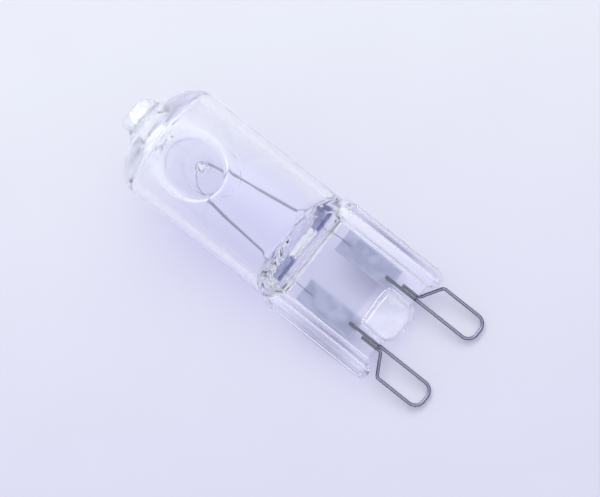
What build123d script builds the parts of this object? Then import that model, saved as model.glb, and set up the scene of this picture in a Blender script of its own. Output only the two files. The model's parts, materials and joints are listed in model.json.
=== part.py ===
from build123d import *
import os
from copy import copy
from math import acos, asin, atan2, cos, degrees, hypot, sin, sqrt, tan

# A clear quartz halogen capsule lamp with two contact loops, lying as it comes to rest.
# Millimetres. Each piece is drawn in the lamp's own frame and placed at the end: X runs along
# the lamp from the ends of the pinch rails (x = 0) to the tip, Y across the pinch, Z through it.

# Glass tube and its domed end
tube_diameter = 13.2
tube_wall = 1.0
shoulder_x = 31.6          # where the straight tube turns into the dome
dome_rise = 3.6            # outside height of the dome
end_wall = 1.9             # glass behind the exhaust tip

# Exhaust tip, where the tube was melted off: a lumpy stub, a little off the lamp's axis
tip_x = 37.2
tip_root_share = 0.85      # how far up the dome the stub's root lies
tip_root_radius = 2.3
tip_end_radius = 1.6
tip_swell = 0.1            # the stub's middle is this much fuller than a straight cone
tip_lean = 0.3
tip_middle_lean = 0.1
tip_rounding = 0.6

# Pinch: a thin web between two thick rails, pressed flat while hot
pinch_width = 14.2
rail_thickness = 5.2
rail_width = 2.1
rail_length = 13.6
rail_land = 2.0            # height of the rails' upright sides, at their widest
rail_outer_draw = 0.75     # the press leaves a rail's top narrower than its foot by this much outside,
rail_inner_draw = 0.3      # this much inside
rail_end_draw = 0.6        # and this much at each end
rail_edge = 0.3            # rounding round the rails' tops
rail_corner = 0.95         # rounding of the rails' four corners, seen from above
rail_top_corner = 0.45
web_thickness = 2.9
web_setback = 0.9          # the web stops this far short of the rails' ends
web_overrun = 0.5          # how far the web runs on into the shoulder

# Shoulder, where the tube is squeezed down to the web
squeeze_x = 12.3           # the slope starts on the web here
tube_x = 16.1              # and reaches the tube's full height here
shoulder_rounding = 2.2
squeeze_clearance = 0.15   # the press's outline clears the round tube by this much
cavity_x = 14.1            # bottom of the gas space
cavity_full_x = 16.9       # where the gas space has its full height
cavity_bottom = 0.75       # half the width of the gas space at its bottom
cavity_rounding = 0.7

# Boss, a raised tongue between the two wires, on both faces
boss_width = 5.1
boss_thickness = 5.0
boss_length = 4.5
boss_overhang = 0.3        # it stands past the rails' ends
boss_corner = 1.6
boss_draw_in = 0.35        # how much narrower it is at the top, each side
boss_edge = 0.35

# Dimples, pushed in from both faces until they meet in a post that holds the filament
dimple_x = 27.35
dimple_rim_radius = 3.3
dimple_bottom_radius = 0.45
dimple_floor = 0.7         # half the glass left between the two dimples
dimple_wall = 0.62         # glass beside a dimple, measured across it
dimple_rim_rounding = 0.5
dimple_end_rounding = 0.36
post_radius = 0.7

# Contact loops: round wire, bent flat, with its short end sealed in beside the long one
wire_diameter = 0.36
loop_pitch = 9.0           # between the loops' middles, as the lamp holder needs
loop_width = 2.8           # between the centres of a loop's legs
loop_reach = 6.3           # from the rails' ends to the centre of the wire at the loop's end
loop_corner = 1.1
loop_elbow = 0.5
loop_elbow_x = (-0.9, -0.6)        # where the outer leg turns in, left and right: bent by hand
stub_gap = 0.04            # between the short end and the long one
stub_start_x = (0.45, 0.85)
stub_end_x = 3.0

# Molybdenum foils
foil_length = 7.1
foil_width = 2.7
foil_thickness = 0.05
foil_start_x = 3.85
foil_spacing = 6.6         # between the middles of the two foils
weld_overlap = 1.1         # how far a wire lies on its foil

# Filament: a fine tungsten coil with a straight tail at each end
coil_diameter = 0.38
tail_diameter = 0.10
tail_landing = 0.4         # the tail bends down onto its foil this far before the foil's end
tail_bend = 1.0
coil_end_x = (15.75, 16.3)         # left leg, right leg
coil_end_y = (3.02, 2.68)
sag_points = ((22.3, 2.55), (26.3, 2.12))   # the left leg has sagged outwards
sag_rounding = 1.5
post_gap = 0.02

tube_radius = tube_diameter / 2
bore_radius = tube_radius - tube_wall
wire_radius = wire_diameter / 2
rail_middle = (pinch_width - rail_width) / 2
foil_z = -wire_radius - foil_thickness / 2      # the wires lie in the middle plane, on the foils
dome_end_x = shoulder_x + dome_rise
beyond = 1.0               # cutting tools start and end this far outside what they cut
near = 0.01                # for picking the corners of an outline by their place
sides = {"left": 1, "right": -1}


def lathe(*edges):
    """Turn a half outline, drawn in the XY plane, about the lamp's axis."""
    return revolve(make_face(Wire(list(edges))), Axis.X)


def across(outline, width):
    """Carry an outline drawn in the XZ plane across the lamp."""
    return extrude(Plane.XZ * outline, amount=width / 2, both=True)


def quarter_dome(x, radius, rise):
    """A quarter ellipse from the tube's wall to the axis."""
    return Pos(x, 0) * EllipticalCenterArc((0, 0), rise, radius, start_angle=0, arc_size=90)


def squeeze_outline(start, start_height, full, full_height, far):
    """Side outline of a form that opens from the pinch to the tube's full height."""
    outline = Polygon(
        (start, start_height),
        (full, full_height),
        (far, full_height),
        (far, -full_height),
        (full, -full_height),
        (start, -start_height),
        align=None,
    )
    crests = [v for v in outline.vertices() if abs(v.X - full) < near]
    return fillet(crests, shoulder_rounding)


def tube_outside():
    dome = quarter_dome(shoulder_x, tube_radius, dome_rise)
    blank = lathe(
        Line((squeeze_x, 0), (squeeze_x, tube_radius)),
        Line((squeeze_x, tube_radius), (shoulder_x, tube_radius)),
        dome,
        Line((dome_end_x, 0), (squeeze_x, 0)),
    )
    squeezed = squeeze_outline(
        squeeze_x, web_thickness / 2, tube_x, tube_radius + squeeze_clearance, dome_end_x + beyond
    )
    return blank & across(squeezed, tube_diameter + beyond)


def gas_space():
    inner_end_x = dome_end_x - end_wall
    dome = quarter_dome(shoulder_x, bore_radius, inner_end_x - shoulder_x)
    blank = lathe(
        Line((cavity_x - beyond, 0), (cavity_x - beyond, bore_radius)),
        Line((cavity_x - beyond, bore_radius), (shoulder_x, bore_radius)),
        dome,
        Line((inner_end_x, 0), (cavity_x - beyond, 0)),
    )
    squeezed = squeeze_outline(
        cavity_x, cavity_bottom, cavity_full_x, bore_radius + squeeze_clearance, dome_end_x
    )
    bottom = [v for v in squeezed.vertices() if abs(v.X - cavity_x) < near]
    squeezed = fillet(bottom, cavity_rounding)
    return blank & across(squeezed, tube_diameter)


def exhaust_tip():
    root_x = shoulder_x + dome_rise * tip_root_share
    middle_x = (root_x + tip_x) / 2
    middle_radius = (tip_root_radius + tip_end_radius) / 2 + tip_swell
    sections = [
        Plane((root_x, 0, 0), z_dir=(1, 0, 0)) * Circle(tip_root_radius),
        Plane((middle_x, -tip_middle_lean, 0), z_dir=(1, 0, 0)) * Circle(middle_radius),
        Plane((tip_x, -tip_lean, 0), z_dir=(1, 0, 0)) * Circle(tip_end_radius),
    ]
    stub = loft(sections)
    return fillet(stub.edges().sort_by(Axis.X)[-1], tip_rounding)


def rail():
    """The left rail: upright at its foot, drawn in above and below that as the press left it."""
    foot = RectangleRounded(rail_length, rail_width, rail_corner)
    top_width = rail_width - rail_outer_draw - rail_inner_draw
    top = RectangleRounded(rail_length - 2 * rail_end_draw, top_width, rail_top_corner)
    top = Pos(0, (rail_inner_draw - rail_outer_draw) / 2, rail_thickness / 2) * top
    upper = loft([Pos(0, 0, rail_land / 2) * foot, top])
    upper = fillet(upper.faces().sort_by(Axis.Z)[-1].edges(), rail_edge)
    solid = extrude(foot, amount=rail_land / 2, both=True) + upper + mirror(upper, Plane.XY)
    return Pos(rail_length / 2, rail_middle, 0) * solid


def pinch():
    from_end = (Align.MIN, Align.CENTER, Align.CENTER)
    web_length = squeeze_x + web_overrun - web_setback
    solid = Pos(web_setback, 0, 0) * Box(web_length, 2 * rail_middle, web_thickness, align=from_end)
    left_rail = rail()
    return solid + left_rail + mirror(left_rail, Plane.XZ)


def boss():
    """The tongue on one face, drawn in towards its top as the press left it, and its mirror image."""
    outline = Rectangle(boss_length, boss_width)
    outline = fillet(outline.vertices().group_by(Axis.X)[0], boss_corner)
    outline = Pos(boss_length / 2 - boss_overhang, 0) * outline
    top = offset(outline, -boss_draw_in)
    tongue = loft([outline, Pos(0, 0, boss_thickness / 2) * top])
    tongue = fillet(tongue.faces().sort_by(Axis.Z)[-1].edges(), boss_edge)
    return tongue + mirror(tongue, Plane.XY)


def funnel(bottom, floor, rim, rim_z):
    """A cone turned about the post's axis, from its narrow end out past the tube's surface."""
    far_z = rim_z + 2 * beyond
    far = rim + (rim - bottom) / (rim_z - floor) * 2 * beyond
    outline = Polygon((0, floor), (bottom, floor), (far, far_z), (0, far_z), align=None)
    return Pos(dimple_x, 0, 0) * revolve(Plane.XZ * outline, Axis.Z)


def dimple_recess():
    """The space that one pin pressed into the tube, with a rounded end."""
    cone = funnel(dimple_bottom_radius, dimple_floor, dimple_rim_radius, tube_radius)
    end = cone.edges().sort_by(Axis.Z)[0]
    return fillet(end, dimple_end_rounding)


def dimple_glass():
    """The glass that the pins pushed inwards: two funnels joined by the post between them."""
    half = funnel(post_radius, 0, dimple_rim_radius + dimple_wall, tube_radius)
    return half + mirror(half, Plane.XY)


def glass():
    """The whole envelope, hollow, before the metal pieces are sealed in."""
    outside = tube_outside()
    recess = dimple_recess()
    for tool in (recess, mirror(recess, Plane.XY)):
        dented = outside - tool
        outside = fillet(new_edges(outside, tool, combined=dented), dimple_rim_rounding)
    outside += exhaust_tip() + pinch() + boss()
    cavity = gas_space()
    spool = dimple_glass()
    holed = cavity - spool
    cavity = fillet(new_edges(cavity, spool, combined=holed), dimple_rim_rounding)
    return outside - cavity


def contact_loop(side, elbow_x, stub_x):
    """From its weld on the foil, round the loop, to the short end sealed in beside it."""
    inner = (loop_pitch - loop_width) / 2
    outer = (loop_pitch + loop_width) / 2
    stub = inner + wire_diameter + stub_gap
    route = FilletPolyline(
        (foil_start_x + weld_overlap, side * inner),
        (-loop_reach, side * inner),
        (-loop_reach, side * outer),
        (elbow_x, side * outer),
        (stub_x, side * stub),
        (stub_end_x, side * stub),
        radius=[loop_corner, loop_corner, loop_elbow, loop_elbow],
    )
    section = Plane(route @ 0, z_dir=route % 0) * Circle(wire_radius)
    return sweep(section, path=route)


def foil(side):
    return Pos(foil_start_x, side * foil_spacing / 2, foil_z) * Box(
        foil_length, foil_width, foil_thickness, align=(Align.MIN, Align.CENTER, Align.CENTER)
    )


def touch_angle(point, radius):
    """Where a line from this point touches a circle round the post, as an angle about the post."""
    away = atan2(point[1], point[0] - dimple_x)
    reach = acos(radius / hypot(point[0] - dimple_x, point[1]))
    return away - reach if point[1] > 0 else away + reach


def round_post(angle, radius):
    return (dimple_x + radius * cos(angle), radius * sin(angle))


def tail(side, coil_end):
    """The straight end of the filament wire, from the coil down onto its foil."""
    tail_z = foil_z + (foil_thickness + tail_diameter) / 2
    foil_end_x = foil_start_x + foil_length
    landing_x = foil_end_x + tail_landing
    weld_x = foil_end_x - weld_overlap
    y = side * foil_spacing / 2
    route = FilletPolyline(
        (coil_end[0] + coil_diameter, coil_end[1], 0),
        (landing_x, y, tail_z),
        (weld_x, y, tail_z),
        radius=tail_bend,
    )
    section = Plane(route @ 0, z_dir=route % 0) * Circle(tail_diameter / 2)
    return sweep(section, path=route)


def filament():
    """The coil, as a rod of its outside size, from foil to foil round the post."""
    left_end = (coil_end_x[0], coil_end_y[0])
    right_end = (coil_end_x[1], -coil_end_y[1])
    radius = post_radius + post_gap + coil_diameter / 2
    left_touch = touch_angle(sag_points[-1], radius)
    right_touch = touch_angle(right_end, radius)
    left_leg = FilletPolyline(left_end, *sag_points, round_post(left_touch, radius), radius=sag_rounding)
    bend = ThreePointArc(left_leg @ 1, round_post(0, radius), round_post(right_touch, radius))
    right_leg = Line(bend @ 1, right_end)
    route = Wire([*left_leg.edges(), bend, right_leg])
    section = Plane(route @ 0, z_dir=route % 0) * Circle(coil_diameter / 2)
    coil = sweep(section, path=route)
    return coil + tail(1, left_end) + tail(-1, right_end)


def rest_tilt():
    """The lamp lies on the tube's squeezed edge and the rails' ends: the slope between the two."""
    full_height = tube_radius + squeeze_clearance
    slope = atan2(full_height - web_thickness / 2, tube_x - squeeze_x)
    rounding_x = tube_x + shoulder_rounding * tan(slope / 2)
    rounding_z = full_height - shoulder_rounding
    edge_x = rounding_x - sqrt(shoulder_rounding**2 - (tube_radius - rounding_z) ** 2)
    end_slope = atan2((rail_thickness - rail_land) / 2, rail_end_draw)
    along = edge_x - (rail_end_draw + rail_edge * tan(end_slope / 2))
    down = tube_radius - (rail_thickness / 2 - rail_edge)
    return atan2(down, along) - asin(rail_edge / hypot(along, down))


os.makedirs("parts", exist_ok=True)
pieces = {"filament": filament()}
for (name, side), elbow_x, stub_x in zip(sides.items(), loop_elbow_x, stub_start_x):
    pieces[f"contact_loop_{name}"] = contact_loop(side, elbow_x, stub_x)
    pieces[f"foil_{name}"] = foil(side)
envelope = glass()
for metal in pieces.values():
    envelope -= metal
pieces["glass_envelope"] = envelope

tilt = degrees(rest_tilt())
lying = {name: Rot(0, -tilt, 0) * piece for name, piece in pieces.items()}
box = Compound(children=[copy(piece) for piece in lying.values()]).bounding_box()
place = Pos(-box.center().X, 0, -box.min.Z)
for name, piece in lying.items():
    placed = place * piece
    print(name, round(placed.volume, 3), len(placed.solids()), placed.is_valid)
    export_step(placed, f"parts/{name}.step")
print("tilt", round(tilt, 2), "box", box.size)
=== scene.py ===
import json
from math import acos, atan2, cos, hypot, pi, radians, sin, tan

import bpy
import numpy as np
from bpy.props import FloatProperty, FloatVectorProperty, PointerProperty
from mathutils import Matrix, Vector


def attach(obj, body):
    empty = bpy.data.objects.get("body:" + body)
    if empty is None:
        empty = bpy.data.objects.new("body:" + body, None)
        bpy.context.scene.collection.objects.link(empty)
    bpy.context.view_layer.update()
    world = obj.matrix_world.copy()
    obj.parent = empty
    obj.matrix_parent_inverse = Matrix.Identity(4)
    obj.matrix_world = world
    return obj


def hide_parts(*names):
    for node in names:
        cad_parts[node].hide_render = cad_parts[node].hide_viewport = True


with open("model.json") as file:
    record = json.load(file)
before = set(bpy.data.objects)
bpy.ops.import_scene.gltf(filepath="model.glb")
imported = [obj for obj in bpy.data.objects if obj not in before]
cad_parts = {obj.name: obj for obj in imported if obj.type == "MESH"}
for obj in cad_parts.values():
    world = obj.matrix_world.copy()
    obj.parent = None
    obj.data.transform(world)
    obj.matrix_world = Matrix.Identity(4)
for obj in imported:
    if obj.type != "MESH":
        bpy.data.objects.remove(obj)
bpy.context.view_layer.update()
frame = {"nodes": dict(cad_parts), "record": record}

bl_info = {
    "name": "Halogen Capsule Lamp",
    "version": (1, 0, 0),
    "blender": (4, 5, 0),
    "location": "3D View > Sidebar > Lamp",
    "description": "Builds a clear quartz capsule lamp with its foils, contact loops and coiled filament",
    "category": "Object",
}

MM = 0.001
SIDES = {"left": 1, "right": -1}


def size(name, description, millimetres):
    """A length that a user can change, kept in metres."""
    return FloatProperty(
        name=name, description=description, default=millimetres * MM, unit="LENGTH", precision=5
    )


def share(name, description, default, most=1.0):
    """A share from 0 up to the most that makes sense, which a user can change."""
    return FloatProperty(name=name, description=description, default=default, min=0, max=most)


def strength(name, description, default):
    """A brightness, or a share of one, that a user can change."""
    return FloatProperty(name=name, description=description, default=default, min=0)


def colour(name, description, default):
    """A colour that a user can change, kept as linear values."""
    return FloatVectorProperty(
        name=name, description=description, default=linear(default), subtype="COLOR", size=4, min=0, max=1
    )


def linear(code):
    """An sRGB hex colour as linear red, green, blue and alpha."""
    channels = [int(code[i : i + 2], 16) / 255 for i in (1, 3, 5)]
    return [c / 12.92 if c <= 0.04045 else ((c + 0.055) / 1.055) ** 2.4 for c in channels] + [1.0]


class EnvelopeSettings(bpy.types.PropertyGroup):
    """The glass envelope. Places along the lamp are measured from the rails' ends towards the tip."""

    tube_diameter: size("Tube diameter", "Outside diameter of the tube", 13.2)
    tube_wall: size("Tube wall", "Thickness of the tube's glass", 1.0)
    dome_x: size("Dome start", "Where the straight tube turns into the dome", 31.6)
    dome_rise: size("Dome rise", "Outside height of the dome", 3.6)
    end_wall: size("End wall", "Glass behind the exhaust tip", 1.9)
    tip_x: size("Tip", "Distance from the rails' ends to the top of the exhaust tip", 37.2)
    tip_radius: size("Tip radius", "Radius of the exhaust tip halfway up", 2.1)
    tip_lean: size("Tip lean", "How far the top of the exhaust tip stands off the axis", 0.3)
    pinch_width: size("Pinch width", "Width over the two rails", 14.2)
    rail_thickness: size("Rail thickness", "Thickness of the two rails", 5.2)
    rail_width: size("Rail width", "Width of one rail", 2.1)
    rail_length: size("Rail length", "Length of the rails", 13.6)
    rail_land: size("Rail land", "Height of the rails' upright sides, at their widest", 2.0)
    rail_outer_draw: size("Rail outer draw", "How much a rail narrows to its top, outside", 0.75)
    rail_inner_draw: size("Rail inner draw", "How much a rail narrows to its top, inside", 0.3)
    rail_end_draw: size("Rail end draw", "How much a rail shortens to its top, at each end", 0.6)
    rail_edge: size("Rail edge", "Rounding round the rails' tops", 0.3)
    web_thickness: size("Web thickness", "Thickness of the web between the rails", 2.9)
    web_setback: size("Web setback", "How far the web stops short of the rails' ends", 0.9)
    squeeze_x: size("Squeeze start", "Where the shoulder rises from the web", 12.3)
    tube_x: size("Squeeze end", "Where the shoulder reaches the tube's height", 15.5)
    shoulder_rounding: size("Shoulder rounding", "Rounding at the top of the shoulder's slopes", 0.7)
    cavity_x: size("Gas space start", "Bottom of the gas space", 14.1)
    cavity_full_x: size("Gas space full", "Where the gas space has its full height", 15.9)
    cavity_dents: size("Gas space dents", "Unevenness of the gas space's bottom", 0.01)
    boss_width: size("Boss width", "Width of the raised tongue between the wires", 5.1)
    boss_thickness: size("Boss thickness", "Thickness over the two tongues", 5.0)
    boss_length: size("Boss length", "Length of the tongue", 4.5)
    boss_dents: size("Boss dents", "Depth of the dents that the press left on the tongue", 0.22)
    dimple_x: size("Dimple place", "Distance from the rails' ends to the post", 27.35)
    dimple_rim: size("Dimple rim", "Radius of a dimple at the tube's surface", 3.6)
    dimple_floor: size("Dimple floor", "Half the glass left between the two dimples", 0.7)
    dimple_wall: size("Dimple wall", "Thickness of the glass beside a dimple", 0.62)
    post_radius: size("Post radius", "Radius of the glass post between the dimples", 0.7)
    mesh_step: size("Mesh step", "Distance between neighbouring points on the glass", 0.186)
    glass_tint: colour("Glass tint", "Colour that the quartz gives to what is seen through it", "#FEFEFF")
    # Painted shade: the web between the rails is tinted darker for the shade that falls under it.
    web_shade_tint: colour("Pinch tint", "Colour that the pressed web gives to what shows through", "#ECECF0")
    shadow_tint: colour("Shadow tint", "Colour that the quartz leaves in its shadow", "#F6F5FC")
    tongue_frost: share("Tongue frost", "Whiteness of the pressed tongue", 0.2)
    # Painted highlights: the shoulder's foot and the dome are whitened where bright reflections show.
    foot_highlight: share("Foot frost", "Whiteness of the glass where the shoulder meets the web", 0.3)
    tip_highlight: share("Tip frost", "Whiteness of the dome, growing to the melted-off tip", 0.27)


class FoilSettings(bpy.types.PropertyGroup):
    """The two sealing foils."""

    length: size("Length", "Length of one foil along the lamp", 7.1)
    width: size("Width", "Width of one foil", 2.7)
    thickness: size("Thickness", "Thickness at the foil's middle", 0.05)
    start_x: size("Start", "Distance from the rails' ends to the foil", 3.85)
    spacing: size("Spacing", "Distance between the middles of the two foils", 6.6)
    crinkle: size("Crinkle", "How far the foil leaves a flat plane", 0.05)
    metal: colour("Metal", "Colour of the molybdenum foil", "#A9ACC8")
    stain: colour("Stain", "Colour of the patches that the sealing heat dulled", "#9194B3")
    rim: colour("Rim", "Colour of the foil's thin rim", "#B0B4CC")


class LoopSettings(bpy.types.PropertyGroup):
    """The two contact loops."""

    wire: size("Wire", "Diameter of the contact wire", 0.36)
    # Painted reflection: darker than the bare metal, for the dark room that the wire reflects.
    metal: colour("Metal", "Colour of the contact wire", "#5A5A69")


class FilamentSettings(bpy.types.PropertyGroup):
    """The coiled filament and its two tails."""

    coil_diameter: size("Coil diameter", "Outside diameter of the coil", 0.38)
    strand: size("Strand", "Diameter of the coiled strand and of its two tails", 0.09)
    pitch: size("Pitch", "Distance from one turn of the coil to the next", 0.2)
    post_gap: size("Post gap", "Space between the coil and the post", 0.02)
    drawn_open: share("Drawn open", "Share of the turns lost where the coil is pulled straight", 0.8, 0.95)
    drawn_thin: share("Drawn thin", "How much thinner the coil is there", 0.75, 0.95)
    sag_rounding: size("Sag rounding", "Radius of the bends where the left leg has sagged", 1.5)
    metal: colour("Metal", "Colour of the used tungsten", "#85859B")


class StageSettings(bpy.types.PropertyGroup):
    """The floor and the room's light."""

    floor_size: size("Floor size", "Edge of the square floor", 1600)
    # Painted shade: the floor's tone runs from the brighter colour to the darker one across the card.
    floor_tone: colour("Floor", "Colour of the floor at its brighter side", "#EEEDF4")
    floor_shaded_tone: colour("Floor low", "Colour of the floor at its darker side", "#E0DCEE")
    key_strength: strength("Key strength", "Brightness of the window overhead", 3.6)
    key_seen: strength("Key seen", "Share of that brightness that shines off glass and metal", 0.4)
    key_tone: colour("Key colour", "Colour of the window overhead", "#FCFFF2")
    sky_strength: strength("Sky strength", "Light that the room gives", 0.47)
    sky_tone: colour("Sky colour", "Colour of the room's light", "#D9DEFF")
    wall_strength: strength("Wall strength", "Brightness of the walls as glass and metal show them", 0.87)
    wall_tone: colour("Wall colour", "Colour of the walls as glass and metal show them", "#EEF4FF")
    ceiling_strength: strength("Ceiling", "Brightness of the ceiling as it shines off surfaces", 2.2)
    far_window_strength: strength("Far window", "Brightness of the far window off surfaces", 7.0)
    far_window_tone: colour("Far window colour", "Colour of the far window", "#FBFCFF")


def mount(name):
    """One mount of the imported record, as its place and its direction."""
    found = next(m for m in frame["record"]["mounts"] if m["name"] == name)
    return Vector(found["pos_m"]), Vector(found["axis"]).normalized()


def lamp_placement():
    """From the lamp's own axes, X from the rails' ends to the tip, to the row frame."""
    side_mount_x = 7.0 * MM
    along = -mount("contact_loops")[1]
    side_place = mount("pinch_side_left")[0]
    origin = Vector((side_place.x, 0, side_place.z)) - along * side_mount_x
    across = Vector((0, 1, 0))
    placement = Matrix((along, across, along.cross(across))).transposed().to_4x4()
    placement.translation = origin
    return placement


PLACEMENT = lamp_placement()


def node(tree, kind, links=None, **settings):
    """Add a shader node; settings name its properties or input sockets, links name input sockets."""
    made = tree.nodes.new(kind)
    for key, value in settings.items():
        if hasattr(made, key):
            setattr(made, key, value)
        else:
            made.inputs[key.replace("_", " ")].default_value = value
    for socket, source in (links or {}).items():
        tree.links.new(source, made.inputs[socket])
    return made


def new_material(name):
    """An empty material, its node tree and its output."""
    material = bpy.data.materials.new(name)
    material.use_nodes = True
    tree = material.node_tree
    tree.nodes.clear()
    return material, tree, tree.nodes.new("ShaderNodeOutputMaterial")


def point_values(made, name, values):
    """Give each point of an object's mesh a number that its material can read."""
    layer = made.data.attributes.new(name, "FLOAT", "POINT")
    layer.data.foreach_set("value", values)


# Signed distance fields: below zero inside a form, metres, in the lamp's own axes


def union(a, b, radius):
    """Two forms melted together with a fillet."""
    corner = np.hypot(np.maximum(radius - a, 0), np.maximum(radius - b, 0))
    return np.maximum(radius, np.minimum(a, b)) - corner


def common(a, b, radius):
    """What two forms share, with the edge between them rounded."""
    corner = np.hypot(np.maximum(radius + a, 0), np.maximum(radius + b, 0))
    return np.minimum(-radius, np.maximum(a, b)) + corner


def domed_tube(x, y, z, radius, dome_x, rise):
    """A round tube that ends in half an ellipsoid."""
    nearly_zero = 1e-6
    least_steepness = 0.5
    past = np.maximum(x - dome_x, 0) * (radius / rise)
    across = np.hypot(y, z)
    reach = np.maximum(np.hypot(past, across), nearly_zero)
    steepness = np.hypot(past * (radius / rise), across) / reach
    return (reach - radius) / np.maximum(steepness, least_steepness)


def squeeze(x, z, start, start_height, full, tube_radius, rounding):
    """The space between two slopes that open from the pinch to just above the tube."""
    above_tube = 0.15 * MM
    full_height = tube_radius + above_tube
    run = full - start
    climb = full_height - start_height
    slope = ((np.abs(z) - start_height) * run - (x - start) * climb) / hypot(run, climb)
    return common(slope, np.abs(z) - full_height, rounding)


def cone(x, y, z, centre_x, narrow, narrow_z, wide, wide_z):
    """A cone about the post, the same on both faces of the tube, with a soft waist if it has one."""
    waist_rounding = 0.2 * MM
    slope = (wide - narrow) / (wide_z - narrow_z)
    height = np.sqrt(z * z + waist_rounding**2) if narrow_z == 0 else np.abs(z)
    return (np.hypot(x - centre_x, y) - narrow - (height - narrow_z) * slope) / hypot(1, slope)


def ripple(x, y, z, wavelength, seed):
    """Smooth unevenness between about -1 and 1, as molten glass sets with: waves in unlike directions."""
    waves = 4
    total = 0
    for i in range(waves):
        turn = seed + 1.7 * i
        k = 2 * pi / wavelength * (0.75 + 0.17 * i)
        way = (cos(turn), sin(1.3 * turn), cos(2.1 * turn + 1))
        norm = hypot(*way)
        total = total + np.sin(k * (way[0] * x + way[1] * y + way[2] * z) / norm + 2.3 * turn)
    return total / waves


def exhaust_tip(s, x, y, z):
    """The lumpy stub where the tube was melted off: it leans, and flares where it meets the dome."""
    up_the_dome = 0.85
    root_x = s.dome_x + s.dome_rise * up_the_dome
    flare_width = 0.9 * MM
    flare_height = 0.6 * MM
    top_rounding = 0.9 * MM
    lump_depth = 0.24 * MM
    lump_size = 2.3 * MM
    dent_depth = 0.07 * MM
    dent_size = 1.1 * MM
    top_margin = 0.05 * MM
    top_edge = 0.3 * MM
    buried = 1.5 * MM
    lean = (x - root_x) / (s.tip_x - root_x) * s.tip_lean
    flare = flare_width * np.exp(-np.maximum(x - root_x, 0) / flare_height)
    stub = np.hypot(y + lean, z) - (s.tip_radius + flare)
    stub = common(stub, x - s.tip_x, top_rounding)
    lumps = lump_depth * ripple(x, y, z, lump_size, 0.4)
    dents = dent_depth * ripple(x, y, z, dent_size, 2.9)
    stub = common(stub + (lumps + dents), x - s.tip_x + top_margin, top_edge)
    return np.maximum(stub, root_x - buried - x)


def pinch(s, x, y, z):
    """The web with its two thick rails, whose sides and ends are drawn in towards the top."""
    web_edge = 0.35 * MM
    web_fillet = 0.35 * MM
    web_overlap = 1 * MM
    foot_corner = 0.95 * MM
    corner_loss = 0.5 * MM
    web = common(np.abs(z) - s.web_thickness / 2, s.web_setback - x, web_edge)
    web = np.maximum(web, np.abs(y) - (s.pinch_width - s.rail_width) / 2)
    web = np.maximum(web, x - s.squeeze_x - web_overlap)
    rise = (s.rail_thickness - s.rail_land) / 2
    height = np.maximum(np.abs(z) - s.rail_land / 2, 0) / rise
    outer = np.abs(y) + height * s.rail_outer_draw - s.pinch_width / 2
    inner = s.pinch_width / 2 - s.rail_width - np.abs(y) + height * s.rail_inner_draw
    lengthwise = np.abs(x - s.rail_length / 2) + height * s.rail_end_draw - s.rail_length / 2
    corner = foot_corner - corner_loss * np.minimum(height, 1)
    rail = common(np.maximum(outer, inner), lengthwise, corner)
    rail = common(rail, np.abs(z) - s.rail_thickness / 2, s.rail_edge)
    return union(web, rail, web_fillet)


def boss(s, x, y, z):
    """The tongue between the wires, drawn in towards its top and dented by the press."""
    overhang = 0.3 * MM
    top_draw = 0.35 * MM
    front_corner = 1.6 * MM
    back_corner = 0.4 * MM
    top_edge = 0.5 * MM
    dent_size = 2.2 * MM
    draw_in = top_draw * np.abs(z) / (s.boss_thickness / 2)
    sides = np.abs(y) + draw_in - s.boss_width / 2
    tongue = common(sides, -overhang - x + draw_in, front_corner)
    tongue = common(tongue, x - (s.boss_length - overhang) + draw_in, back_corner)
    tongue = common(tongue, np.abs(z) - s.boss_thickness / 2, top_edge)
    return tongue + s.boss_dents * (0.5 + 0.5 * ripple(x, y, z, dent_size, 5.3))


def outer_skin(s, x, y, z):
    """The outside of the glass envelope."""
    radius = s.tube_diameter / 2
    shoulder_edge = 0.5 * MM
    tip_fillet = 0.6 * MM
    dish_radius = 0.45 * MM
    dish_fillet = 0.4 * MM
    crisp_rim = 0.3 * MM
    rim_softening = 0.9 * MM
    pinch_fillet = 0.45 * MM
    boss_fillet = 0.3 * MM
    tube = domed_tube(x, y, z, radius, s.dome_x, s.dome_rise)
    slopes = squeeze(x, z, s.squeeze_x, s.web_thickness / 2, s.tube_x, radius, s.shoulder_rounding)
    glass = common(tube, slopes, shoulder_edge)
    glass = union(glass, exhaust_tip(s, x, y, z), tip_fillet)
    recess = cone(x, y, z, s.dimple_x, dish_radius, s.dimple_floor, s.dimple_rim, radius)
    recess = common(recess, s.dimple_floor - np.abs(z), dish_fillet)
    towards_tip = np.clip(0.5 + (x - s.dimple_x) / (2 * s.dimple_rim), 0, 1)
    glass = common(glass, -recess, crisp_rim + rim_softening * towards_tip)
    glass = union(glass, pinch(s, x, y, z), pinch_fillet)
    return union(glass, boss(s, x, y, z), boss_fillet)


def gas_skin(s, x, y, z):
    """The inside of the glass envelope, round the gas and the filament."""
    radius = s.tube_diameter / 2 - s.tube_wall
    bottom_half_height = 0.75 * MM
    slope_rounding = 0.8 * MM
    bottom_edge = 0.4 * MM
    shoulder_edge = 0.6 * MM
    spool_edge = 0.3 * MM
    dent_size = 0.9 * MM
    gas = domed_tube(x, y, z, radius, s.dome_x, s.dome_rise - s.end_wall)
    slopes = squeeze(x, z, s.cavity_x, bottom_half_height, s.cavity_full_x, radius, slope_rounding)
    slopes = common(slopes, s.cavity_x - x, bottom_edge)
    slopes = slopes + s.cavity_dents * ripple(x, y, z, dent_size, 7.7)
    gas = common(gas, slopes, shoulder_edge)
    spool_rim = s.dimple_rim + s.dimple_wall
    spool = cone(x, y, z, s.dimple_x, s.post_radius, 0, spool_rim, s.tube_diameter / 2)
    return common(gas, -spool, spool_edge)


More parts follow.
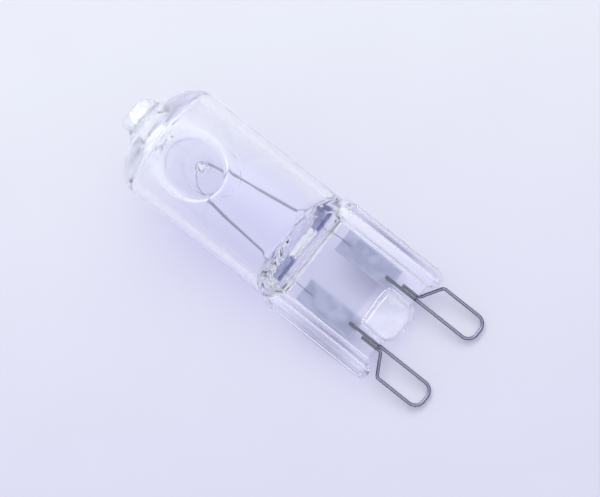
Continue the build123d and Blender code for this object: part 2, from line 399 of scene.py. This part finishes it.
def crossings(grid):
    """One point in each cell that a grid's zero surface crosses, the cells' numbers, and what is inside.

    A cell's point is the mean of the places where the surface crosses the cell's edges.
    """
    inside = grid < 0
    cells = tuple(n - 1 for n in grid.shape)
    place = np.zeros((*cells, 3))
    count = np.zeros(cells)
    for axis in range(3):
        low, high = np.moveaxis(grid, axis, 0)[:-1], np.moveaxis(grid, axis, 0)[1:]
        cut = np.moveaxis(inside, axis, 0)[:-1] != np.moveaxis(inside, axis, 0)[1:]
        part_way = np.where(cut, low / np.where(cut, low - high, 1), 0)
        others = [a for a in range(3) if a != axis]
        place_view = np.moveaxis(place, axis, 0)
        count_view = np.moveaxis(count, axis, 0)
        for u in (0, 1):
            for v in (0, 1):
                near = np.s_[:, u : u + cells[others[0]], v : v + cells[others[1]]]
                place_view[..., axis] += part_way[near]
                place_view[..., others[0]] += cut[near] * u
                place_view[..., others[1]] += cut[near] * v
                count_view += cut[near]
    found = count > 0
    base = np.argwhere(found)
    index = np.full(cells, -1)
    index[found] = np.arange(len(base))
    return base + place[found] / count[found][:, None], index, inside


def quads_between(index, inside):
    """Four cells round each crossed edge of the grid make one face, turned outwards."""
    faces = []
    for axis in range(3):
        within = np.moveaxis(inside, axis, 0)
        cells = np.moveaxis(index, axis, 0)
        start, end = within[:-1, 1:-1, 1:-1], within[1:, 1:-1, 1:-1]
        i, j, k = np.nonzero(start != end)
        ring = [cells[i, j, k], cells[i, j + 1, k], cells[i, j + 1, k + 1], cells[i, j, k + 1]]
        quad = np.stack(ring, 1)
        flip = start[i, j, k] == (axis == 1)
        quad[flip] = quad[flip][:, ::-1]
        faces.append(quad)
    return np.concatenate(faces)


def relaxed(points, faces, amount):
    """Each point moved towards the mean of its neighbours."""
    total = np.zeros_like(points)
    count = np.zeros(len(points))
    for a, b in ((0, 1), (1, 2), (2, 3), (3, 0)):
        for here, there in ((a, b), (b, a)):
            np.add.at(total, faces[:, here], points[faces[:, there]])
            np.add.at(count, faces[:, here], 1)
    return points + amount * (total / count[:, None] - points)


def gradient(field, points, reach):
    """The field's steepest direction at each point."""
    slopes = []
    for axis in range(3):
        offset = np.zeros(3)
        offset[axis] = reach
        ahead, behind = field(*(points + offset).T), field(*(points - offset).T)
        slopes.append((ahead - behind) / (2 * reach))
    return np.stack(slopes, 1)


def surface(field, low, high, step):
    """Points, faces and normals of a field's zero surface, with the points about a step apart."""
    relaxings = (0.5, 0.5, 0.5, 0)
    settlings = 2
    least_slope = 0.05
    close_by = step * 0.05
    near_by = step * 0.1
    axes = [np.arange(a - 2 * step, b + 3 * step, step) for a, b in zip(low, high)]
    grid = field(*np.meshgrid(*axes, indexing="ij"))
    cell_points, index, inside = crossings(grid)
    points = np.array([a[0] for a in axes]) + cell_points * step
    faces = quads_between(index, inside)
    for amount in relaxings:
        points = relaxed(points, faces, amount)
        for _ in range(settlings):
            slope = gradient(field, points, close_by)
            move = field(*points.T) / np.maximum((slope**2).sum(1), least_slope)
            points -= slope * np.clip(move, -step, step)[:, None]
    return points, faces, gradient(field, points, near_by)


def mesh_object(name, points, faces, material, normals=None):
    """An object in the row frame from points, and normals if known, in the lamp's own axes."""
    mesh = bpy.data.meshes.new(name)
    mesh.from_pydata(points.tolist(), [], faces)
    mesh.transform(PLACEMENT)
    mesh.materials.append(material)
    mesh.shade_smooth()
    if normals is not None:
        unit = normals / np.linalg.norm(normals, axis=1)[:, None]
        mesh.normals_split_custom_set_from_vertices((unit @ np.array(PLACEMENT.to_3x3()).T).tolist())
    made = bpy.data.objects.new(name, mesh)
    bpy.context.collection.objects.link(made)
    return made


def quartz_material(s):
    """Quartz glass, fire-polished: water clear, with silica's low index and a faintly uneven shine.

    The web between the rails is tinted a little grey as painted shade. The tongue is frosted whitish where
    the press touched it, and the shoulder's foot and the dome are whitened as painted highlights.
    """
    wave_length = 2.5 * MM
    wave_height = 0.05 * MM
    haze_size = 4 * MM
    speck_size = 1.8 * MM
    material, tree, output = new_material("quartz fire polished")
    place = node(tree, "ShaderNodeTexCoord").outputs["Object"]
    waves = node(tree, "ShaderNodeTexNoise", {"Vector": place}, Scale=1 / wave_length, Detail=1.0)
    bump = node(tree, "ShaderNodeBump", {"Height": waves.outputs["Fac"]}, Strength=0.02, Distance=wave_height)
    film = node(tree, "ShaderNodeTexNoise", {"Vector": place}, Scale=1 / haze_size, Detail=4.0)
    haze = node(
        tree, "ShaderNodeMapRange", {"Value": film.outputs["Fac"]},
        From_Min=0.5, From_Max=0.9, To_Min=0.0, To_Max=0.04,
    )
    # Frost on the tongue, and painted highlights on the shoulder's foot and the dome, make the glass whitish.
    frost_and_highlight = node(tree, "ShaderNodeAttribute", attribute_name="frost_and_highlight")
    specks = node(tree, "ShaderNodeTexNoise", {"Vector": place}, Scale=1 / speck_size, Detail=2.0)
    patches = node(
        tree, "ShaderNodeMapRange", {"Value": specks.outputs["Fac"]},
        From_Min=0.4, From_Max=0.65, To_Min=0.4, To_Max=1.0,
    )
    white = node(
        tree, "ShaderNodeMath", {0: frost_and_highlight.outputs["Fac"], 1: patches.outputs["Result"]},
        operation="MULTIPLY",
    )
    clear = node(tree, "ShaderNodeMath", {1: white.outputs[0]}, operation="SUBTRACT")
    clear.inputs[0].default_value = 1.0
    # Painted shade: a darker tint on the web between the rails.
    cast = node(tree, "ShaderNodeAttribute", attribute_name="cast")
    body = node(tree, "ShaderNodeMix", {"Factor": cast.outputs["Fac"]}, data_type="RGBA")
    body.inputs["A"].default_value = s.glass_tint
    body.inputs["B"].default_value = s.web_shade_tint
    glass = node(
        tree,
        "ShaderNodeBsdfPrincipled",
        {
            "Base Color": body.outputs["Result"],
            "Normal": bump.outputs["Normal"],
            "Roughness": haze.outputs["Result"],
            "Transmission Weight": clear.outputs[0],
        },
        IOR=1.458,
    )
    shade = node(tree, "ShaderNodeBsdfTransparent", Color=s.shadow_tint)
    rays = node(tree, "ShaderNodeLightPath").outputs
    unbent = node(
        tree, "ShaderNodeMath", {0: rays["Is Shadow Ray"], 1: rays["Is Diffuse Ray"]}, operation="MAXIMUM"
    )
    mix = node(
        tree, "ShaderNodeMixShader", {"Fac": unbent.outputs[0], 1: glass.outputs[0], 2: shade.outputs[0]}
    )
    tree.links.new(mix.outputs[0], output.inputs["Surface"])
    return material


class LAMP_OT_envelope(bpy.types.Operator):
    """Blow the glass envelope: outer skin and gas space as one solid of glass"""

    bl_idname = "lamp.envelope"
    bl_label = "Glass envelope"

    def execute(self, context):
        s = context.scene.lamp_envelope
        front_margin = 0.5 * MM
        tip_margin = 0.3 * MM
        half_width = s.pinch_width / 2
        half_height = s.tube_diameter / 2
        outer = surface(
            lambda x, y, z: outer_skin(s, x, y, z),
            (-front_margin, -half_width, -half_height),
            (s.tip_x + tip_margin, half_width, half_height),
            s.mesh_step,
        )
        inner = surface(
            lambda x, y, z: gas_skin(s, x, y, z),
            (s.cavity_x, -half_height, -half_height),
            (s.dome_x + s.dome_rise, half_height, half_height),
            s.mesh_step,
        )
        points = np.concatenate([outer[0], inner[0]])
        faces = np.concatenate([outer[1], inner[1][:, ::-1] + len(outer[0])])
        normals = np.concatenate([outer[2], -inner[2]])
        material = quartz_material(s)
        envelope = mesh_object("quartz_envelope", points, faces.tolist(), material, normals)
        point_values(envelope, "frost_and_highlight", self.frost_and_highlight(s, points, len(outer[0])))
        point_values(envelope, "cast", self.cast(s, points))
        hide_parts("glass_envelope")
        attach(envelope, "root")
        return {"FINISHED"}

    def frost_and_highlight(self, s, points, outer_count):
        """How white each point is: the frosted tongue, and as painted highlights the shoulder's foot and the
        dome towards the tip.
        """
        x, y, z = points.T
        face_depth = 0.6 * MM
        foot_offset = 0.3 * MM
        foot_spread = 0.45 * MM
        tongue = (np.abs(y) < s.boss_width / 2) & (x < s.boss_length)
        tongue = tongue & (np.abs(z) > s.boss_thickness / 2 - face_depth)
        # Painted highlights: the shoulder's foot and the dome towards the tip are whitened where bright
        # reflections show.
        foot = np.exp(-(((x - s.squeeze_x - foot_offset) / foot_spread) ** 2))
        foot = foot * (np.abs(y) < s.tube_diameter / 2)
        tip = np.clip((x - s.dome_x) / s.dome_rise, 0, 1)
        white = np.maximum(np.maximum(s.tongue_frost * tongue, s.foot_highlight * foot), s.tip_highlight * tip)
        white[outer_count:] = 0
        return white

    def cast(self, s, points):
        """1 on the web between the rails, fading outwards: where the glass is tinted darker as painted shade.
        """
        x, y, z = points.T
        fade_width = 0.4 * MM
        past_boss = 0.2 * MM
        web_start = s.boss_length + past_boss
        lengthwise = np.minimum(x - web_start, s.squeeze_x - x)
        sideways = s.pinch_width / 2 - s.rail_width - np.abs(y)
        return np.clip(np.minimum(lengthwise, sideways) / fade_width, 0, 1)


def foil_material(s):
    """Molybdenum foil, cold rolled, dulled by the sealing heat: grey blue, satin, paler at its rim."""
    streak_length = 3 * MM
    streak_width = 0.12 * MM
    stain_size = 1.3 * MM
    material, tree, output = new_material("molybdenum foil rolled")
    place = node(tree, "ShaderNodeTexCoord").outputs["Object"]
    streak_scale = (1 / streak_length, 1 / streak_width, 1 / streak_length)
    streaks = node(tree, "ShaderNodeMapping", {"Vector": place}, Scale=streak_scale)
    grain = node(tree, "ShaderNodeTexNoise", {"Vector": streaks.outputs[0]}, Scale=1.0, Detail=3.0)
    edge = node(tree, "ShaderNodeAttribute", attribute_name="edge")
    stains = node(tree, "ShaderNodeTexNoise", {"Vector": place}, Scale=1 / stain_size, Detail=3.0)
    patches = node(
        tree, "ShaderNodeMapRange", {"Value": stains.outputs["Fac"]}, From_Min=0.42, From_Max=0.6
    )
    body = node(tree, "ShaderNodeMix", {"Factor": patches.outputs["Result"]}, data_type="RGBA")
    body.inputs["A"].default_value = s.stain
    body.inputs["B"].default_value = s.metal
    tone = node(
        tree, "ShaderNodeMix", {"Factor": edge.outputs["Fac"], "A": body.outputs["Result"]},
        data_type="RGBA",
    )
    tone.inputs["B"].default_value = s.rim
    shine = node(
        tree, "ShaderNodeMapRange", {"Value": grain.outputs["Fac"]},
        From_Min=0.3, From_Max=0.7, To_Min=0.4, To_Max=0.6,
    )
    metal = node(
        tree,
        "ShaderNodeBsdfPrincipled",
        {"Base Color": tone.outputs["Result"], "Roughness": shine.outputs["Result"]},
        Metallic=0.1,
    )
    tree.links.new(metal.outputs[0], output.inputs["Surface"])
    return material


class LAMP_OT_foils(bpy.types.Operator):
    """Seal in the two molybdenum foils"""

    bl_idname = "lamp.foils"
    bl_label = "Foils"

    def execute(self, context):
        s = context.scene.lamp_foils
        material = foil_material(s)
        for name, side in SIDES.items():
            points, faces, rim = self.sheet(s, context.scene.lamp_loops.wire, side)
            foil = mesh_object(f"molybdenum_foil_{name}", points, faces.tolist(), material)
            point_values(foil, "edge", rim)
            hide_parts(f"foil_{name}")
            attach(foil, "root")
        return {"FINISHED"}

    def sheet(self, s, wire, side):
        """Points, faces and nearness to the edge of one foil, thinned towards its edges, under the wire."""
        columns, rows = 72, 28
        crinkle_length = 2.6 * MM
        edge_thinning = 0.8
        rim_width = 0.35 * MM
        u, v = np.meshgrid(np.linspace(0, 1, columns), np.linspace(-1, 1, rows), indexing="ij")
        x = s.start_x + u * s.length
        y = side * s.spacing / 2 + v * s.width / 2
        bend = s.crinkle * ripple(x, y, 0, crinkle_length, 1.1 + side)
        middle = -(wire + s.thickness) / 2 + bend
        half = s.thickness / 2 * (1 - edge_thinning * np.abs(v) ** 3)
        top = np.stack([x, y, middle + half], -1).reshape(-1, 3)
        bottom = np.stack([x, y, middle - half], -1).reshape(-1, 3)
        number = np.arange(columns * rows).reshape(columns, rows)
        a, b, c, d = number[:-1, :-1], number[1:, :-1], number[1:, 1:], number[:-1, 1:]
        face = np.stack([a, b, c, d], -1).reshape(-1, 4)
        border = np.concatenate([number[:, 0], number[-1, 1:], number[-2::-1, -1], number[0, -2:0:-1]])
        following = np.roll(border, -1)
        below = len(top)
        wall = np.stack([following, border, border + below, following + below], 1)
        faces = np.concatenate([face, face[:, ::-1] + below, wall])
        from_edge = np.minimum(np.minimum(u, 1 - u) * s.length, (1 - np.abs(v)) * s.width / 2)
        rim = np.clip(1 - from_edge / rim_width, 0, 1).ravel()
        return np.concatenate([top, bottom]), faces, np.concatenate([rim, rim])


def wire_material(s):
    """Drawn nickel contact wire, darkened as a painted reflection of the dark room above it: its shine varies
    in small spots.
    """
    spot_size = 0.6 * MM
    material, tree, output = new_material("contact wire drawn")
    place = node(tree, "ShaderNodeTexCoord").outputs["Object"]
    spots = node(tree, "ShaderNodeTexNoise", {"Vector": place}, Scale=1 / spot_size, Detail=4.0)
    shine = node(
        tree, "ShaderNodeMapRange", {"Value": spots.outputs["Fac"]},
        From_Min=0.3, From_Max=0.7, To_Min=0.15, To_Max=0.3,
    )
    # Painted reflection: the base colour is darkened for the dark room above that the wire reflects.
    metal = node(
        tree, "ShaderNodeBsdfPrincipled", {"Roughness": shine.outputs["Result"]},
        Base_Color=s.metal, Metallic=1.0,
    )
    tree.links.new(metal.outputs[0], output.inputs["Surface"])
    return material


class LAMP_OT_loops(bpy.types.Operator):
    """Finish the two contact loops"""

    bl_idname = "lamp.loops"
    bl_label = "Contact loops"

    def execute(self, context):
        material = wire_material(context.scene.lamp_loops)
        for name in SIDES:
            for slot in frame["nodes"][f"contact_loop_{name}"].material_slots:
                slot.material = material
        return {"FINISHED"}


def tungsten_material(s):
    """Tungsten strand, a fine coil itself: grey, matt after use, with painted shade in the gaps between its
    turns.
    """
    material, tree, output = new_material("tungsten strand coiled")
    # Painted shade: darker bands where the gaps between the strand's fine turns would be.
    turns = node(tree, "ShaderNodeAttribute", attribute_name="turns")
    wave = node(tree, "ShaderNodeMath", {0: turns.outputs["Fac"]}, operation="SINE")
    tone = node(
        tree, "ShaderNodeMapRange", {"Value": wave.outputs[0]},
        From_Min=-1.0, From_Max=0.2, To_Min=0.55, To_Max=1.0,
    )
    shade = node(tree, "ShaderNodeVectorMath", {1: tone.outputs["Result"]}, operation="MULTIPLY")
    shade.inputs[0].default_value = list(s.metal)[:3]
    metal = node(
        tree, "ShaderNodeBsdfPrincipled", {"Base Color": shade.outputs[0]}, Metallic=1.0, Roughness=0.5
    )
    tree.links.new(metal.outputs[0], output.inputs["Surface"])
    return material


# Routes of the filament: lists of points, this far apart
ROUTE_SPACING = 0.02 * MM


def rounded_route(corners, radius):
    """Points along straight runs with an arc in each corner, close together."""
    corners = [np.array(c, float) for c in corners]
    anchors = [corners[0]]
    route = []
    for before, corner, after in zip(corners, corners[1:], corners[2:]):
        to_start = (before - corner) / np.linalg.norm(before - corner)
        to_end = (after - corner) / np.linalg.norm(after - corner)
        opening = acos(float(np.clip(to_start @ to_end, -1, 1)))
        cut = radius / tan(opening / 2)
        middle = corner + (to_start + to_end) / np.linalg.norm(to_start + to_end) * radius / sin(opening / 2)
        start, end = corner + to_start * cut, corner + to_end * cut
        steps = max(2, round(radius * (pi - opening) / ROUTE_SPACING))
        arc = [middle + turned(start - middle, end - middle, i / steps) for i in range(steps + 1)]
        route += straight(anchors[-1], start) + arc
        anchors.append(end)
    return np.array(route + straight(anchors[-1], corners[-1]) + [corners[-1]])


def turned(a, b, part):
    """A vector turned part of the way from a to b."""
    nearly_none = 1e-6
    angle = acos(float(np.clip(a @ b / (np.linalg.norm(a) * np.linalg.norm(b)), -1, 1)))
    if angle < nearly_none:
        return a
    return (sin((1 - part) * angle) * a + sin(part * angle) * b) / sin(angle)


def straight(start, end):
    """Points from start up to, and without, the end."""
    steps = max(1, round(np.linalg.norm(end - start) / ROUTE_SPACING))
    return [start + (end - start) * i / steps for i in range(steps)]


def resampled(route, spacing):
    """The same route with evenly spaced points, and the distance to each."""
    lengths = np.concatenate([[0], np.cumsum(np.linalg.norm(np.diff(route, axis=0), axis=1))])
    distance = np.linspace(0, lengths[-1], max(2, round(lengths[-1] / spacing)))
    return np.stack([np.interp(distance, lengths, route[:, i]) for i in range(3)], 1), distance


def headings(route):
    """The direction of a route at each of its points."""
    ahead = np.gradient(route, axis=0)
    return ahead / np.linalg.norm(ahead, axis=1)[:, None]


def rod(route, radius, sides):
    """Points and faces of a round rod along a route, with closed ends."""
    heading = headings(route)
    never_along = np.array([0.31, 0.17, 0.93])
    across = np.cross(heading, never_along)
    across /= np.linalg.norm(across, axis=1)[:, None]
    upward = np.cross(across, heading)
    angles = np.arange(sides) * 2 * pi / sides
    ring = np.cos(angles)[:, None] * across[:, None, :] + np.sin(angles)[:, None] * upward[:, None, :]
    points = (route[:, None, :] + radius * ring).reshape(-1, 3)
    number = np.arange(len(points)).reshape(-1, sides)
    beside = np.roll(number, -1, axis=1)
    faces = np.stack([number[:-1], number[1:], beside[1:], beside[:-1]], -1).reshape(-1, 4).tolist()
    faces += [number[0].tolist(), number[-1][::-1].tolist()]
    return points, faces


class LAMP_OT_filament(bpy.types.Operator):
    """Wind the filament, from foil to foil round the glass post"""

    bl_idname = "lamp.filament"
    bl_label = "Filament"

    def execute(self, context):
        s = context.scene.lamp_filament
        sides = 6
        helix = self.helix(s, context.scene.lamp_envelope)
        left_tail = self.tail(context, helix[0], SIDES["left"])
        right_tail = self.tail(context, helix[-1], SIDES["right"])
        strand = np.concatenate([left_tail[::-1], helix, right_tail])
        points, faces = rod(strand, s.strand / 2, sides)
        filament = mesh_object("tungsten_filament", points, faces, tungsten_material(s))
        point_values(filament, "turns", self.turns(strand, sides))
        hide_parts("filament")
        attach(filament, "root")
        return {"FINISHED"}

    def helix(self, s, glass):
        """The middle of the strand along the coil, which is drawn open where it passes round the post."""
        points_a_turn = 14
        centre, distance = resampled(self.coil_axis(s, glass), s.pitch / points_a_turn)
        heading = headings(centre)
        beside = np.stack([-heading[:, 1], heading[:, 0], 0 * distance], 1)
        drawn_out = self.drawn_out(centre, glass)
        advance = np.concatenate([[0], np.diff(distance)]) * (1 - s.drawn_open * drawn_out)
        turn = np.cumsum(advance) / s.pitch * 2 * pi
        reach = (s.coil_diameter - s.strand) / 2 * (1 - s.drawn_thin * drawn_out)[:, None]
        return centre + reach * (np.cos(turn)[:, None] * beside + np.sin(turn)[:, None] * [[0, 0, 1]])

    def turns(self, strand, sides):
        """How far the strand's own fine turns have come round at each point of its mesh, as an angle."""
        fine_pitch = 0.05 * MM
        steps = np.linalg.norm(np.diff(strand, axis=0), axis=1)
        wound = np.concatenate([[0], np.cumsum(steps)]) / fine_pitch * 2 * pi
        slant = np.arange(sides) * 2 * pi / sides
        return (wound[:, None] + slant[None, :]).ravel()

    def drawn_out(self, centre, glass):
        """1 where the coil was pulled straight to pass round the post, 0 along the legs."""
        left_start = 2.6 * MM
        right_start = 0.6 * MM
        change_length = 0.6 * MM
        start = glass.dimple_x - np.where(centre[:, 1] > 0, left_start, right_start)
        part = np.clip((centre[:, 0] - start) / change_length, 0, 1)
        return part * part * (3 - 2 * part)

    def coil_axis(self, s, glass):
        """The middle line of the coil: down the sagged left leg, round the post, up the right leg."""
        radius = glass.post_radius + s.post_gap + s.coil_diameter / 2
        bend_points = 60
        post = np.array([glass.dimple_x, 0, 0])
        # The left leg's end, the bend in its sag and the last place before the post; the right leg's end
        left = [np.array(p) * MM for p in ((15.75, 3.02, 0), (22.3, 2.55, 0), (26.3, 2.12, 0))]
        right = np.array((16.3, -2.68, 0)) * MM
        start, end = (self.touch(p - post, radius) for p in (left[-1], right))
        leg = rounded_route([*left, post + self.round_post(start, radius)], s.sag_rounding)
        angles = np.linspace(start, end, bend_points)[1:]
        bend = np.array([post + self.round_post(a, radius) for a in angles])
        back = np.array(straight(bend[-1], right)[1:] + [right])
        return np.concatenate([leg, bend, back])

    def touch(self, away, radius):
        """Where a line from this point touches the circle round the post, as an angle about it."""
        angle = atan2(away[1], away[0])
        reach = acos(radius / hypot(away[0], away[1]))
        return angle - reach if away[1] > 0 else angle + reach

    def round_post(self, angle, radius):
        """A place on the circle round the post, seen from the post's middle."""
        return np.array([radius * cos(angle), radius * sin(angle), 0])

    def tail(self, context, start, side):
        """The strand's uncoiled end, down to its weld on the foil, from just past the coil's last point."""
        foils, s = context.scene.lamp_foils, context.scene.lamp_filament
        clear_of_foil = 0.4 * MM
        weld_length = 1.1 * MM
        bend_radius = 1.0 * MM
        points_skipped = 3
        end_x = foils.start_x + foils.length
        y = side * foils.spacing / 2
        z = (s.strand - context.scene.lamp_loops.wire) / 2
        corners = [start, (end_x + clear_of_foil, y, z), (end_x - weld_length, y, z)]
        return rounded_route(corners, bend_radius)[points_skipped:]


def paper_material(s):
    """Plain card, matt: pale, with painted shade making it a little darker towards one side, and the faintest
    mottle.
    """
    mottle_size = 12 * MM
    half_fade = 26 * MM
    brighter_way = (0.73, -0.68, 0)
    material, tree, output = new_material("backdrop card matt")
    place = node(tree, "ShaderNodeTexCoord").outputs["Object"]
    mottle = node(tree, "ShaderNodeTexNoise", {"Vector": place}, Scale=1 / mottle_size, Detail=3.0)
    tone = node(
        tree, "ShaderNodeMapRange", {"Value": mottle.outputs["Fac"]},
        From_Min=0.3, From_Max=0.7, To_Min=0.985, To_Max=1.0,
    )
    # Painted shade: the card darkens towards one side, as light falls off away from the window.
    ahead = node(tree, "ShaderNodeVectorMath", {0: place}, operation="DOT_PRODUCT")
    ahead.inputs[1].default_value = brighter_way
    painted_falloff = node(
        tree, "ShaderNodeMapRange", {"Value": ahead.outputs["Value"]},
        From_Min=-half_fade, From_Max=half_fade,
    )
    card_tone = node(tree, "ShaderNodeMix", {"Factor": painted_falloff.outputs["Result"]}, data_type="RGBA")
    card_tone.inputs["A"].default_value = s.floor_shaded_tone
    card_tone.inputs["B"].default_value = s.floor_tone
    shade = node(
        tree, "ShaderNodeVectorMath", {0: card_tone.outputs["Result"], 1: tone.outputs["Result"]},
        operation="MULTIPLY",
    )
    card = node(tree, "ShaderNodeBsdfDiffuse", {"Color": shade.outputs[0]})
    tree.links.new(card.outputs[0], output.inputs["Surface"])
    return material


# Bright parts of the room: the direction of each from the lamp, how many degrees from there it
# starts to brighten, and how many from there it is at its brightest
CEILING = ((-0.18, -0.1, 0.98), 85, 35)
WINDOW_OVERHEAD = ((0.02, -0.42, 0.9), 38, 8)
FAR_WINDOW = ((0.69, 0.1, 0.72), 32, 12)


class LAMP_OT_stage(bpy.types.Operator):
    """Set the floor, the room's light and the camera"""

    bl_idname = "lamp.stage"
    bl_label = "Stage"

    def execute(self, context):
        s = context.scene.lamp_stage
        self.floor(context, s)
        self.room(context, s)
        self.camera(context)
        return {"FINISHED"}

    def floor(self, context, s):
        """A square of pale card that the lamp lies on."""
        half = s.floor_size / 2
        mesh = bpy.data.meshes.new("stage_floor")
        corners = [(-half, -half, 0), (half, -half, 0), (half, half, 0), (-half, half, 0)]
        mesh.from_pydata(corners, [], [(0, 1, 2, 3)])
        mesh.materials.append(paper_material(s))
        floor = bpy.data.objects.new("stage_floor", mesh)
        context.collection.objects.link(floor)

    def room(self, context, s):
        """The light: walls and a window overhead; the ceiling and a far window only shine off surfaces."""
        world = bpy.data.worlds.new("room")
        context.scene.world = world
        world.use_nodes = True
        tree = world.node_tree
        tree.nodes.clear()
        output = tree.nodes.new("ShaderNodeOutputWorld")
        seen, shone = self.ray_kinds(tree)
        walls = self.walls(tree, s, seen, shone)
        window = self.window(tree, s, seen, shone)
        far_window = self.far_window(tree, s, shone)
        both = node(tree, "ShaderNodeAddShader", {0: walls, 1: window})
        whole = node(tree, "ShaderNodeAddShader", {0: both.outputs[0], 1: far_window})
        tree.links.new(whole.outputs[0], output.inputs["Surface"])

    def ray_kinds(self, tree):
        """Two switches: 1 for a ray that shows the room, and 1 for one that came off a shiny surface."""
        rays = node(tree, "ShaderNodeLightPath").outputs
        direct = node(
            tree, "ShaderNodeMath", {0: rays["Is Camera Ray"], 1: rays["Is Glossy Ray"]},
            operation="MAXIMUM",
        )
        seen = node(
            tree, "ShaderNodeMath", {0: direct.outputs[0], 1: rays["Is Transmission Ray"]},
            operation="MAXIMUM",
        )
        shone = node(
            tree, "ShaderNodeMath", {0: rays["Is Glossy Ray"], 1: rays["Is Transmission Ray"]},
            operation="SUBTRACT", use_clamp=True,
        )
        return seen.outputs[0], shone.outputs[0]

    def walls(self, tree, s, seen, shone):
        """Walls that light the lamp dimly and show as pale, with the ceiling added in reflections."""
        base = node(
            tree, "ShaderNodeMapRange", {"Value": seen}, To_Min=s.sky_strength, To_Max=s.wall_strength
        )
        ceiling = self.patch(tree, CEILING, s.ceiling_strength)
        ceiling_seen = node(tree, "ShaderNodeMath", {0: ceiling, 1: shone}, operation="MULTIPLY")
        total = node(
            tree, "ShaderNodeMath", {0: base.outputs["Result"], 1: ceiling_seen.outputs[0]}, operation="ADD"
        )
        tint = node(tree, "ShaderNodeMix", {"Factor": seen}, data_type="RGBA")
        tint.inputs["A"].default_value = s.sky_tone
        tint.inputs["B"].default_value = s.wall_tone
        links = {"Strength": total.outputs[0], "Color": tint.outputs["Result"]}
        return node(tree, "ShaderNodeBackground", links).outputs[0]

    def window(self, tree, s, seen, shone):
        """The window overhead: it lights the lamp in full, and is fainter in reflections."""
        glow = self.patch(tree, WINDOW_OVERHEAD, s.key_strength)
        unseen = node(tree, "ShaderNodeMapRange", {"Value": seen}, To_Min=1.0, To_Max=0.0)
        veil = node(
            tree, "ShaderNodeMath", {0: shone, 2: unseen.outputs["Result"]}, operation="MULTIPLY_ADD"
        )
        veil.inputs[1].default_value = s.key_seen
        shine = node(tree, "ShaderNodeMath", {0: glow, 1: veil.outputs[0]}, operation="MULTIPLY")
        links = {"Strength": shine.outputs[0]}
        return node(tree, "ShaderNodeBackground", links, Color=s.key_tone).outputs[0]

    def far_window(self, tree, s, shone):
        """The far window, which gives the glass its bright edges."""
        glow = self.patch(tree, FAR_WINDOW, s.far_window_strength)
        shine = node(tree, "ShaderNodeMath", {0: glow, 1: shone}, operation="MULTIPLY")
        links = {"Strength": shine.outputs[0]}
        return node(tree, "ShaderNodeBackground", links, Color=s.far_window_tone).outputs[0]

    def patch(self, tree, place, brightness):
        """A value that grows softly from 0 to the brightness towards a round part of the room."""
        towards, starts, brightest = place
        way = node(tree, "ShaderNodeTexCoord").outputs["Generated"]
        aim = node(tree, "ShaderNodeVectorMath", {0: way}, operation="DOT_PRODUCT")
        aim.inputs[1].default_value = Vector(towards).normalized()
        return node(
            tree,
            "ShaderNodeMapRange",
            {"Value": aim.outputs["Value"]},
            interpolation_type="SMOOTHERSTEP",
            From_Min=cos(radians(starts)),
            From_Max=cos(radians(brightest)),
            To_Max=brightness,
        ).outputs["Result"]

    def camera(self, context):
        """The photograph's view: nearly from above, the lamp from the lower right to the upper left."""
        azimuth = radians(287.2)
        elevation = radians(70.92)
        roll = radians(291.82)
        distance = 250 * MM
        pixels_per_mm = 9.429
        picture_width = 600
        move_right = 2.44
        move_down = 2.376
        towards = Vector((cos(elevation) * sin(azimuth), -cos(elevation) * cos(azimuth), sin(elevation)))
        level = Vector((cos(azimuth), sin(azimuth), 0))
        above = towards.cross(level)
        right = cos(roll) * level + sin(roll) * above
        up = cos(roll) * above - sin(roll) * level
        on_lamp = Vector((1.932, 0, 6.0)) * MM
        aim = on_lamp + (move_right * right - move_down * up) * MM
        lens = bpy.data.cameras.new("photo_camera")
        lens.sensor_width = 36
        lens.sensor_fit = "HORIZONTAL"
        lens.lens = pixels_per_mm * distance / MM * lens.sensor_width / picture_width
        lens.clip_start = 0.01
        lens.clip_end = 10
        camera = bpy.data.objects.new("photo_camera", lens)
        turn = Matrix((right, up, towards)).transposed().to_4x4()
        camera.matrix_world = Matrix.Translation(aim + towards * distance) @ turn
        context.collection.objects.link(camera)
        context.scene.camera = camera


class LAMP_PT_parts(bpy.types.Panel):
    """Lists the lamp's pieces and the stage"""

    bl_idname = "LAMP_PT_parts"
    bl_label = "Halogen capsule lamp"
    bl_space_type = "VIEW_3D"
    bl_region_type = "UI"
    bl_category = "Lamp"

    def draw(self, context):
        for operator in OPERATORS:
            self.layout.operator(operator.bl_idname)


SETTINGS = {
    "lamp_envelope": EnvelopeSettings,
    "lamp_foils": FoilSettings,
    "lamp_loops": LoopSettings,
    "lamp_filament": FilamentSettings,
    "lamp_stage": StageSettings,
}
OPERATORS = (LAMP_OT_envelope, LAMP_OT_foils, LAMP_OT_loops, LAMP_OT_filament, LAMP_OT_stage)


def register():
    for group in SETTINGS.values():
        bpy.utils.register_class(group)
    for name, group in SETTINGS.items():
        setattr(bpy.types.Scene, name, PointerProperty(type=group))
    for operator in OPERATORS:
        bpy.utils.register_class(operator)
    bpy.utils.register_class(LAMP_PT_parts)


def unregister():
    bpy.utils.unregister_class(LAMP_PT_parts)
    for operator in reversed(OPERATORS):
        bpy.utils.unregister_class(operator)
    for name, group in SETTINGS.items():
        delattr(bpy.types.Scene, name)
        bpy.utils.unregister_class(group)


def render_settings(scene):
    """Plain view, and enough bounces for light that passes through many faces of glass."""
    scene.view_settings.view_transform = "Standard"
    scene.cycles.max_bounces = 32
    scene.cycles.transmission_bounces = 32
    scene.cycles.glossy_bounces = 16
    scene.cycles.transparent_max_bounces = 16


def main():
    register()
    bpy.ops.lamp.envelope()
    bpy.ops.lamp.foils()
    bpy.ops.lamp.loops()
    bpy.ops.lamp.filament()
    bpy.ops.lamp.stage()
    render_settings(bpy.context.scene)
    bpy.context.view_layer.update()


if __name__ == "__main__":
    main()
